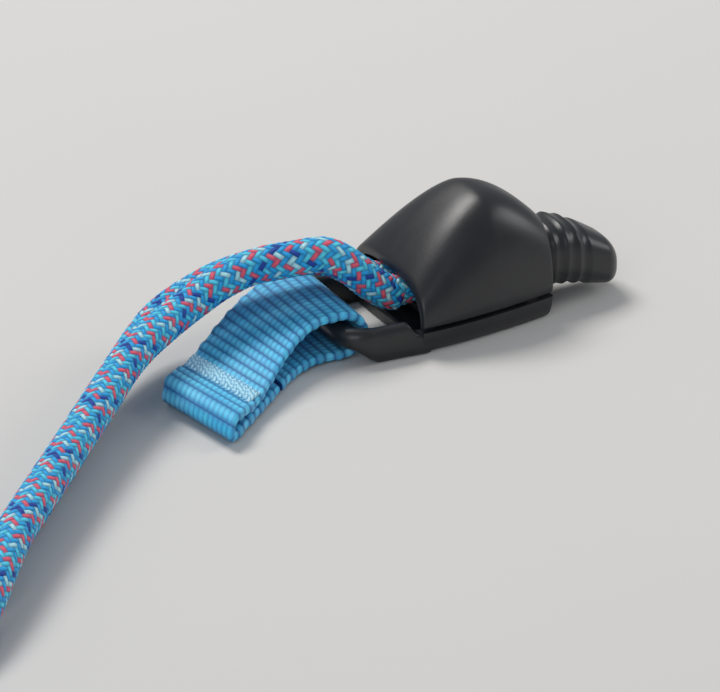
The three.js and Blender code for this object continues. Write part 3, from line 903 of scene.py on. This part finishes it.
def tray_row(x, inset, floor, corner, columns):
    """One section of the tray, from the far seam edge down, across and up again."""
    half = half_width_at(x) - inset
    turn = np.linspace(0, math.pi / 2, columns)
    start = math.asin(min(1.0, SEAM_GAP / 2 / (SEAM_Z - floor)))
    turn = start + (math.pi / 2 - start) * turn / (math.pi / 2)
    side_y = half - corner + corner * np.cos(turn)
    side_z = SEAM_Z - (SEAM_Z - floor) * np.sin(turn)
    flat_y = np.linspace(half - corner, -(half - corner), 2 * columns)[1:-1]
    y = np.concatenate([side_y, flat_y, -side_y[::-1]])
    z = np.concatenate([side_z, np.full(len(flat_y), floor), side_z[::-1]])
    return np.stack([np.full(len(y), x), -y, z], axis=1)


def ring_loop():
    """The anchor ring: flat-sided arms that turn smoothly into the round bar in front."""
    arm_y = 6.05
    bar_x = RING_FRONT_X + 1.0
    corner = 2.1
    root_x = MOUTH_X + 0.75
    path = [(x, arm_y) for x in np.linspace(root_x, bar_x + corner, 26)]
    for a in np.linspace(0, math.pi / 2, 22)[1:]:
        path.append((bar_x + corner - corner * math.sin(a), arm_y - corner + corner * math.cos(a)))
    path += [(bar_x, y) for y in np.linspace(arm_y - corner, 0, 12)[1:]]
    path = np.array(path)
    path = np.concatenate([path, path[-2::-1] * np.array([1, -1])])
    heading = np.gradient(path, axis=0)
    heading /= np.linalg.norm(heading, axis=1)[:, None]
    sideways = np.stack([-heading[:, 1], heading[:, 0]], axis=1)
    to_bar = smooth_step((bar_x + corner + 0.6 - path[:, 0]) / (corner + 0.2))
    at_root = smooth_step((path[:, 0] - (MOUTH_X - 1.3)) / 1.0)
    low = 0.02 + 1.28 * to_bar
    high = 3.0 + 0.2 * to_bar - 0.98 * at_root
    half = 0.65 + 0.3 * to_bar
    power = 3.4 - 1.4 * to_bar
    turn = np.linspace(0, TAU, 40, endpoint=False)
    rings = []
    for i in range(len(path)):
        out = half[i] * signed_power(np.cos(turn), 2 / power[i])
        rise = (high[i] - low[i]) / 2 * signed_power(np.sin(turn), 2 / power[i])
        rings.append(np.stack([
            path[i, 0] + sideways[i, 0] * out,
            path[i, 1] + sideways[i, 1] * out,
            (high[i] + low[i]) / 2 + rise,
        ], axis=1))
    return loft(np.array(rings))


def spigot(from_x):
    """A round peg along X that holds one end of the spring, with eased ends."""
    start = (from_x, 0, SPRING_Z)
    line = np.linspace(start, (from_x + SPIGOT_LENGTH, 0, SPRING_Z), 12)
    radii = np.full(12, SPIGOT_RADIUS)
    radii[0] = radii[-1] = SPIGOT_RADIUS * 0.85
    return tube(line, radii, 28)


def clamp_teeth(face_x, side, heights, half=2.9):
    """Wedge ridges across a clamping face."""
    parts = []
    for z in heights:
        root_x = face_x - side * TOOTH_HEIGHT
        corners = [
            (root_x, z - TOOTH_HALF_PITCH),
            (face_x + side * TOOTH_HEIGHT, z),
            (root_x, z + TOOTH_HALF_PITCH),
        ]
        rings = np.array([[(x, y, zz) for x, zz in corners] for y in (-half, half)])
        parts.append(loft(rings))
    return parts


def cut_window(piece):
    """Opens the window in the tray's floor where the cord goes on into the bag."""
    cutter = make_object("window_cutter", [block(WINDOW_LOW, WINDOW_HIGH, 0.3)])
    modifier = piece.modifiers.new("window", "BOOLEAN")
    modifier.operation = "DIFFERENCE"
    modifier.object = cutter
    modifier.solver = "EXACT"
    evaluated = piece.evaluated_get(bpy.context.evaluated_depsgraph_get())
    mesh = bpy.data.meshes.new_from_object(evaluated)
    piece.modifiers.clear()
    piece.data = mesh
    bpy.data.objects.remove(cutter)
    mesh.shade_smooth()
    mesh.set_sharp_from_angle(angle=math.radians(HARD_ANGLE))


def housing_base():
    stations = lip_stations(46)
    outer = np.array([tray_row(x, inset, inset, CORNER_ROUND, 14) for x, inset in stations])
    inner = np.array([
        tray_row(x, WALL - inset, FLOOR_THICKNESS - inset, 0.2, 14) for x, inset in stations
    ])
    tray = make_object("base_tray", [slab(outer, inner)], HARD_ANGLE)
    bpy.context.view_layer.update()
    cut_window(tray)
    parts = [
        ring_loop(),
        block(ANVIL_LOW, ANVIL_HIGH, 0.15),
        spigot(0.5),
        *clamp_teeth(ANVIL_LOW[0], -1, (2.2, 3.2, 4.2)),
    ]
    extra = make_object("base_fittings", parts, HARD_ANGLE)
    with bpy.context.temp_override(
        active_object=tray, selected_editable_objects=[tray, extra], object=tray,
    ):
        bpy.ops.object.join()
    return finish_piece(tray, HOUSING, "lock", "housing_plastic", "housing_base")


housing_cover()
housing_base()

# ---------------------------------------------------------------- plunger and spring

SEAT_X = 5.2
RIDGE_FIRST_X = 7.3
RIDGE_PITCH = 1.2
RIDGE_COUNT = 3
RIDGE_DEPTH = 0.15
TAPER_FROM_X = 8.8
TIP_ROUND = 1.5
PLUNGER_BOTTOM = 1.5
BUTTON_HALF_WIDTH = 3.3
BUTTON_TOP_FALL = 3.0
BUTTON_BOTTOM_FALL = 1.1
BUTTON_NARROWING = 0.95
BUTTON_SQUARENESS = 0.72
CLAMP_BAR_FRONT_X = -5.0
CLAMP_BAR_REAR_X = -3.6
CLAMP_BAR_TOP = 2.4
ARM_INNER = 3.45
ARM_OUTER = 4.25
ARM_BEND_X = 3.3
ARM_TOP = 3.3
SPRING_RADIUS = 1.6
SPRING_WIRE = 0.2
SPRING_TURNS = 6.5
CLOSED_TURNS = 0.9
CLOSED_LENGTH = 0.38


def button_section(x, scale, inset, columns=72):
    taper = max(0.0, (x - TAPER_FROM_X) / (BUTTON_TIP_X - TAPER_FROM_X))
    top = plunger_high[2] - BUTTON_TOP_FALL * taper**1.2
    bottom = PLUNGER_BOTTOM - BUTTON_BOTTOM_FALL * taper
    half = (BUTTON_HALF_WIDTH - BUTTON_NARROWING * taper**1.3 - inset) * scale
    height = ((top - bottom) / 2 - inset) * scale
    turn = np.linspace(0, TAU, columns, endpoint=False)
    return np.stack([
        np.full(columns, x),
        half * signed_power(np.cos(turn), BUTTON_SQUARENESS),
        (top + bottom) / 2 + height * signed_power(np.sin(turn), BUTTON_SQUARENESS),
    ], axis=1)


def groove_depth(x):
    """Rounded grooves between the thumb ridges."""
    first = RIDGE_FIRST_X - RIDGE_PITCH / 2
    last = RIDGE_FIRST_X + (RIDGE_COUNT - 0.5) * RIDGE_PITCH
    if not first - 0.5 * RIDGE_PITCH < x < last + 0.5 * RIDGE_PITCH:
        return 0.0
    wave = 0.5 + 0.5 * math.cos(TAU * (x - first) / RIDGE_PITCH)
    return RIDGE_DEPTH * wave**0.6


def release_plunger():
    round_from = BUTTON_TIP_X - TIP_ROUND
    rings = [button_section(x, 1.0, groove_depth(x)) for x in np.arange(SEAT_X, round_from, 0.07)]
    for turn in np.linspace(0, math.pi / 2, 22):
        x = round_from + TIP_ROUND * math.sin(turn)
        rings.append(button_section(x, 0.06 + 0.94 * math.cos(turn) ** 0.75, 0))
    parts = [loft(np.array(rings))]
    bar_low = (CLAMP_BAR_FRONT_X, -ARM_OUTER, PLUNGER_BOTTOM)
    bar_high = (CLAMP_BAR_REAR_X, ARM_OUTER, CLAMP_BAR_TOP)
    parts.append(block(bar_low, bar_high, 0.18))
    parts += clamp_teeth(CLAMP_BAR_REAR_X, 1, (1.95,))
    parts.append(spigot(SEAT_X - 0.8))
    for side in (-1, 1):
        outline = [
            (CLAMP_BAR_FRONT_X, ARM_INNER), (ARM_BEND_X, ARM_INNER), (SEAT_X + 0.3, 2.3),
            (SEAT_X + 0.3, 3.1), (ARM_BEND_X, ARM_OUTER), (CLAMP_BAR_FRONT_X, ARM_OUTER),
        ]
        ring = [[(x, side * y, z) for x, y in outline] for z in (PLUNGER_BOTTOM, ARM_TOP)]
        parts.append(loft(np.array(ring[::side])))
    plunger = make_object("ribbed_button", parts, HARD_ANGLE)
    return finish_piece(plunger, BUTTON, "plunger", "button_plastic", "release_plunger")


def plunger_spring():
    low, high = node_box("plunger_spring")
    from_x = low[0] + SPRING_WIRE
    to_x = high[0] - SPRING_WIRE
    turned = SPRING_TURNS * np.linspace(0, 1, 420)
    open_turns = SPRING_TURNS - 2 * CLOSED_TURNS
    lift = smooth_step(np.clip((turned - CLOSED_TURNS) / open_turns, 0, 1) * 0.5 + 0.25)
    lift = (lift - lift[0]) / (lift[-1] - lift[0])
    x = from_x + CLOSED_LENGTH * np.clip(turned / CLOSED_TURNS, 0, 1)
    x = x + (to_x - from_x - 2 * CLOSED_LENGTH) * lift
    x = x + CLOSED_LENGTH * np.clip((turned - SPRING_TURNS) / CLOSED_TURNS + 1, 0, 1)
    y = SPRING_RADIUS * np.cos(TAU * turned)
    z = SPRING_Z + SPRING_RADIUS * np.sin(TAU * turned)
    line = np.stack([x, y, z], axis=1)
    spring = make_object("coiled_wire", [tube(line, SPRING_WIRE, 12)], 60)
    finish_piece(spring, SPRING, "lock", "spring_steel", "plunger_spring")
    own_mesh(spring)


release_plunger()
plunger_spring()

# ---------------------------------------------------------------- webbing tab

WEBBING_WIDTH = 10.0
WEBBING_THICKNESS = 0.9
WEBBING_EDGE_ROUND = 0.3
BAR_X = -13.5
TAB_REAR_X = -11.0
TAB_STRAIGHT_TO_X = -15.0
TAB_SIDEWAYS = 1.05
TAB_BEND = 5.0
TAB_TURN = 0.18
TAB_TURN_WITHIN = 12.0
TAB_FRONT = -30.0

# The upper layer about the stitching: places along X, heights above the lower layer's middle.
HEM_X = (-27.4, -26, -25, -23.2)
HEM_HEIGHTS = (1.25, 0.98, 1.05, 1.5)


def bent_sideways(points):
    """The tab bends sideways and turns a little, more so the further it lies from the ring."""
    ahead = np.clip(TAB_STRAIGHT_TO_X - points[..., 0], 0, None)
    turn = TAB_TURN * smooth_step(ahead / TAB_TURN_WITHIN)
    across = points[..., 1]
    return np.stack([
        points[..., 0] - across * np.sin(turn),
        across * np.cos(turn) - TAB_SIDEWAYS * ahead**2 / (ahead + TAB_BEND),
        points[..., 2],
    ], axis=-1)


def tab_line():
    """The webbing's middle line in X and Z: tip fold, top layer, loop round the bar, back below."""
    middle = (tab_low[2] + tab_high[2]) / 2
    rise = (tab_high[2] - tab_low[2]) / 2 - WEBBING_THICKNESS / 2
    reach = TAB_REAR_X - BAR_X - WEBBING_THICKNESS / 2
    loop = [
        (BAR_X + reach * math.cos(a), middle + rise * math.sin(a))
        for a in np.linspace(math.pi / 2, -math.pi / 2, 13)
    ]
    low = tab_low[2] + WEBBING_THICKNESS / 2
    under = [(x, low) for x in (-16, -18, -20, -21.2)]
    under_front = [(x, low) for x in (-21.6, -23.5, -25.5, -27.5, TAB_FRONT + 1.3)]
    fold = [(TAB_FRONT + 0.55, low + 0.32), (TAB_FRONT + 0.62, low + 0.95)]
    hem = [(x, low + height) for x, height in zip(HEM_X, HEM_HEIGHTS)]
    top = [
        (TAB_FRONT + 1.3, low + 1.45), *hem,
        (-21, low + 2.15), (-18, low + 2.9), (-15.6, low + 3.33),
    ]
    points = under_front + fold + top + loop + under
    return spline_through([(x, 0, z) for x, z in points], 12)


def webbing_relief(across, along):
    rib = along / WEBBING_RIB
    column = across / (2 * WEBBING_YARN) + (np.floor(rib) % 2) * 0.5
    crest = np.abs(np.sin(math.pi * rib)) ** 0.7
    yarn = np.abs(np.sin(math.pi * column))
    return 0.12 * (crest * (0.55 + 0.45 * yarn) - 0.6)


def webbing_tab():
    line = tab_line()
    total = lengths_along(line)[-1]
    stations = np.arange(0, total, 0.11)
    line = resample(line, stations)
    tangent = np.gradient(line, axis=0)
    tangent /= np.linalg.norm(tangent, axis=1)[:, None]
    normal = np.stack([-tangent[:, 2], np.zeros(len(line)), tangent[:, 0]], axis=1)
    half = WEBBING_WIDTH / 2
    straight = half - WEBBING_EDGE_ROUND
    flat = np.linspace(-straight, straight, 84)
    turn = np.linspace(-math.pi / 2, math.pi / 2, 8)[1:-1]
    section = [(a, 1.0) for a in flat]
    section += [(straight + WEBBING_EDGE_ROUND * math.cos(t), -math.sin(t)) for t in turn]
    section += [(a, -1.0) for a in flat[::-1]]
    section += [(-straight - WEBBING_EDGE_ROUND * math.cos(t), math.sin(t)) for t in turn]
    across = np.array([a for a, _ in section])
    thick = np.array([b for _, b in section])
    offset = WEBBING_THICKNESS / 2 - 0.08
    height = thick[None, :] * (offset + webbing_relief(across[None, :], stations[:, None]))
    edge_wave = 0.08 * np.sin(TAU * stations / (2 * WEBBING_RIB))[:, None]
    side = across[None, :] + np.where(np.abs(across)[None, :] > half - 0.25, edge_wave, 0)
    points = line[:, None, :] + height[:, :, None] * normal[:, None, :]
    points[:, :, 1] += side
    points = bent_sideways(points)
    rows, columns = height.shape
    faces = grid_faces(rows, columns, True)
    uv = np.zeros((len(faces), 4, 2))
    row = np.repeat(np.arange(rows - 1), columns)
    column = np.tile(np.arange(columns), rows - 1)
    for corner, (dr, dc) in enumerate(((0, 0), (0, 1), (1, 1), (1, 0))):
        uv[:, corner, 0] = across[(column + dc) % columns] * MM
        uv[:, corner, 1] = stations[row + dr] * MM
    all_faces = [tuple(f) for f in faces.tolist()]
    all_faces += cap_faces(columns, 0, True) + cap_faces(columns, (rows - 1) * columns, False)
    uv = np.concatenate([uv.reshape(-1, 2), np.zeros((2 * columns, 2))])
    tab = make_object("folded_webbing", [(points.reshape(-1, 3), all_faces, uv)], SOFT_ANGLE)
    finish_piece(tab, WEBBING, "tab", "webbing", "webbing_tab")
    return tab, total


def surface_height(x):
    """The top of the webbing's upper layer near the stitching."""
    low = tab_low[2] + WEBBING_THICKNESS
    return low + np.interp(x, HEM_X, HEM_HEIGHTS) - 0.04


def bartack():
    """Dense zigzag stitches across the webbing, over two straight rows."""
    rear = -24.9
    front = -26.5
    parts = []
    count = 34
    half = WEBBING_WIDTH / 2 - 0.55
    for i in range(count):
        y = -half + 2 * half * i / (count - 1)
        lean = half / (count - 1)
        stitch = []
        for t in np.linspace(0, 1, 12):
            x = front + (rear - front) * (t if i % 2 else 1 - t)
            lift = 0.16 * math.sin(math.pi * t) ** 0.5 - 0.1
            stitch.append((x, y + lean * (2 * t - 1), surface_height(x) + lift))
        parts.append(tube(bent_sideways(np.array(stitch)), 0.17, 10, start_length=3.1 * i))
    stitching = make_object("stitch_rows", parts, SOFT_ANGLE)
    return finish_piece(stitching, STITCHING, "tab", "stitching", "bartack_stitch")


tab, tab_length = webbing_tab()
stitching = bartack()

# ---------------------------------------------------------------- floor and light


def make_floor():
    size = 4000
    points = np.array([(-size, -size, 0), (size, -size, 0), (size, size, 0), (-size, size, 0)])
    floor = make_object("floor", [(points, [(0, 1, 2, 3)], None)])
    floor.data.materials.append(floor_material("floor"))


def area_light(name, place, aim, size, power, colour):
    data = bpy.data.lights.new(name, "AREA")
    data.shape = "RECTANGLE"
    data.size, data.size_y = size
    data.energy = power
    data.color = colour
    light = bpy.data.objects.new(name, data)
    light.location = place
    light.rotation_mode = "QUATERNION"
    light.rotation_quaternion = (Vector(aim) - Vector(place)).to_track_quat("-Z", "Y")
    bpy.context.collection.objects.link(light)


def make_lights():
    area_light("key", (-0.1, 0.35, 0.55), (0, 0, 0), (0.35, 0.25), 3.0, (1, 0.98, 0.95))
    area_light("fill", (-0.45, -0.5, 0.35), (0, 0, 0), (0.5, 0.4), 1.2, (0.92, 0.96, 1))
    area_light("side", (0.55, -0.1, 0.3), (0, 0, 0), (0.25, 0.35), 0.9, (1, 1, 1))
    world = bpy.data.worlds.new("world")
    world.use_nodes = True
    world.node_tree.nodes["Background"].inputs[0].default_value = (0.9, 0.93, 1, 1)
    world.node_tree.nodes["Background"].inputs[1].default_value = 0.32
    bpy.context.scene.world = world
    bpy.context.scene.view_settings.view_transform = "Standard"


make_floor()
make_lights()
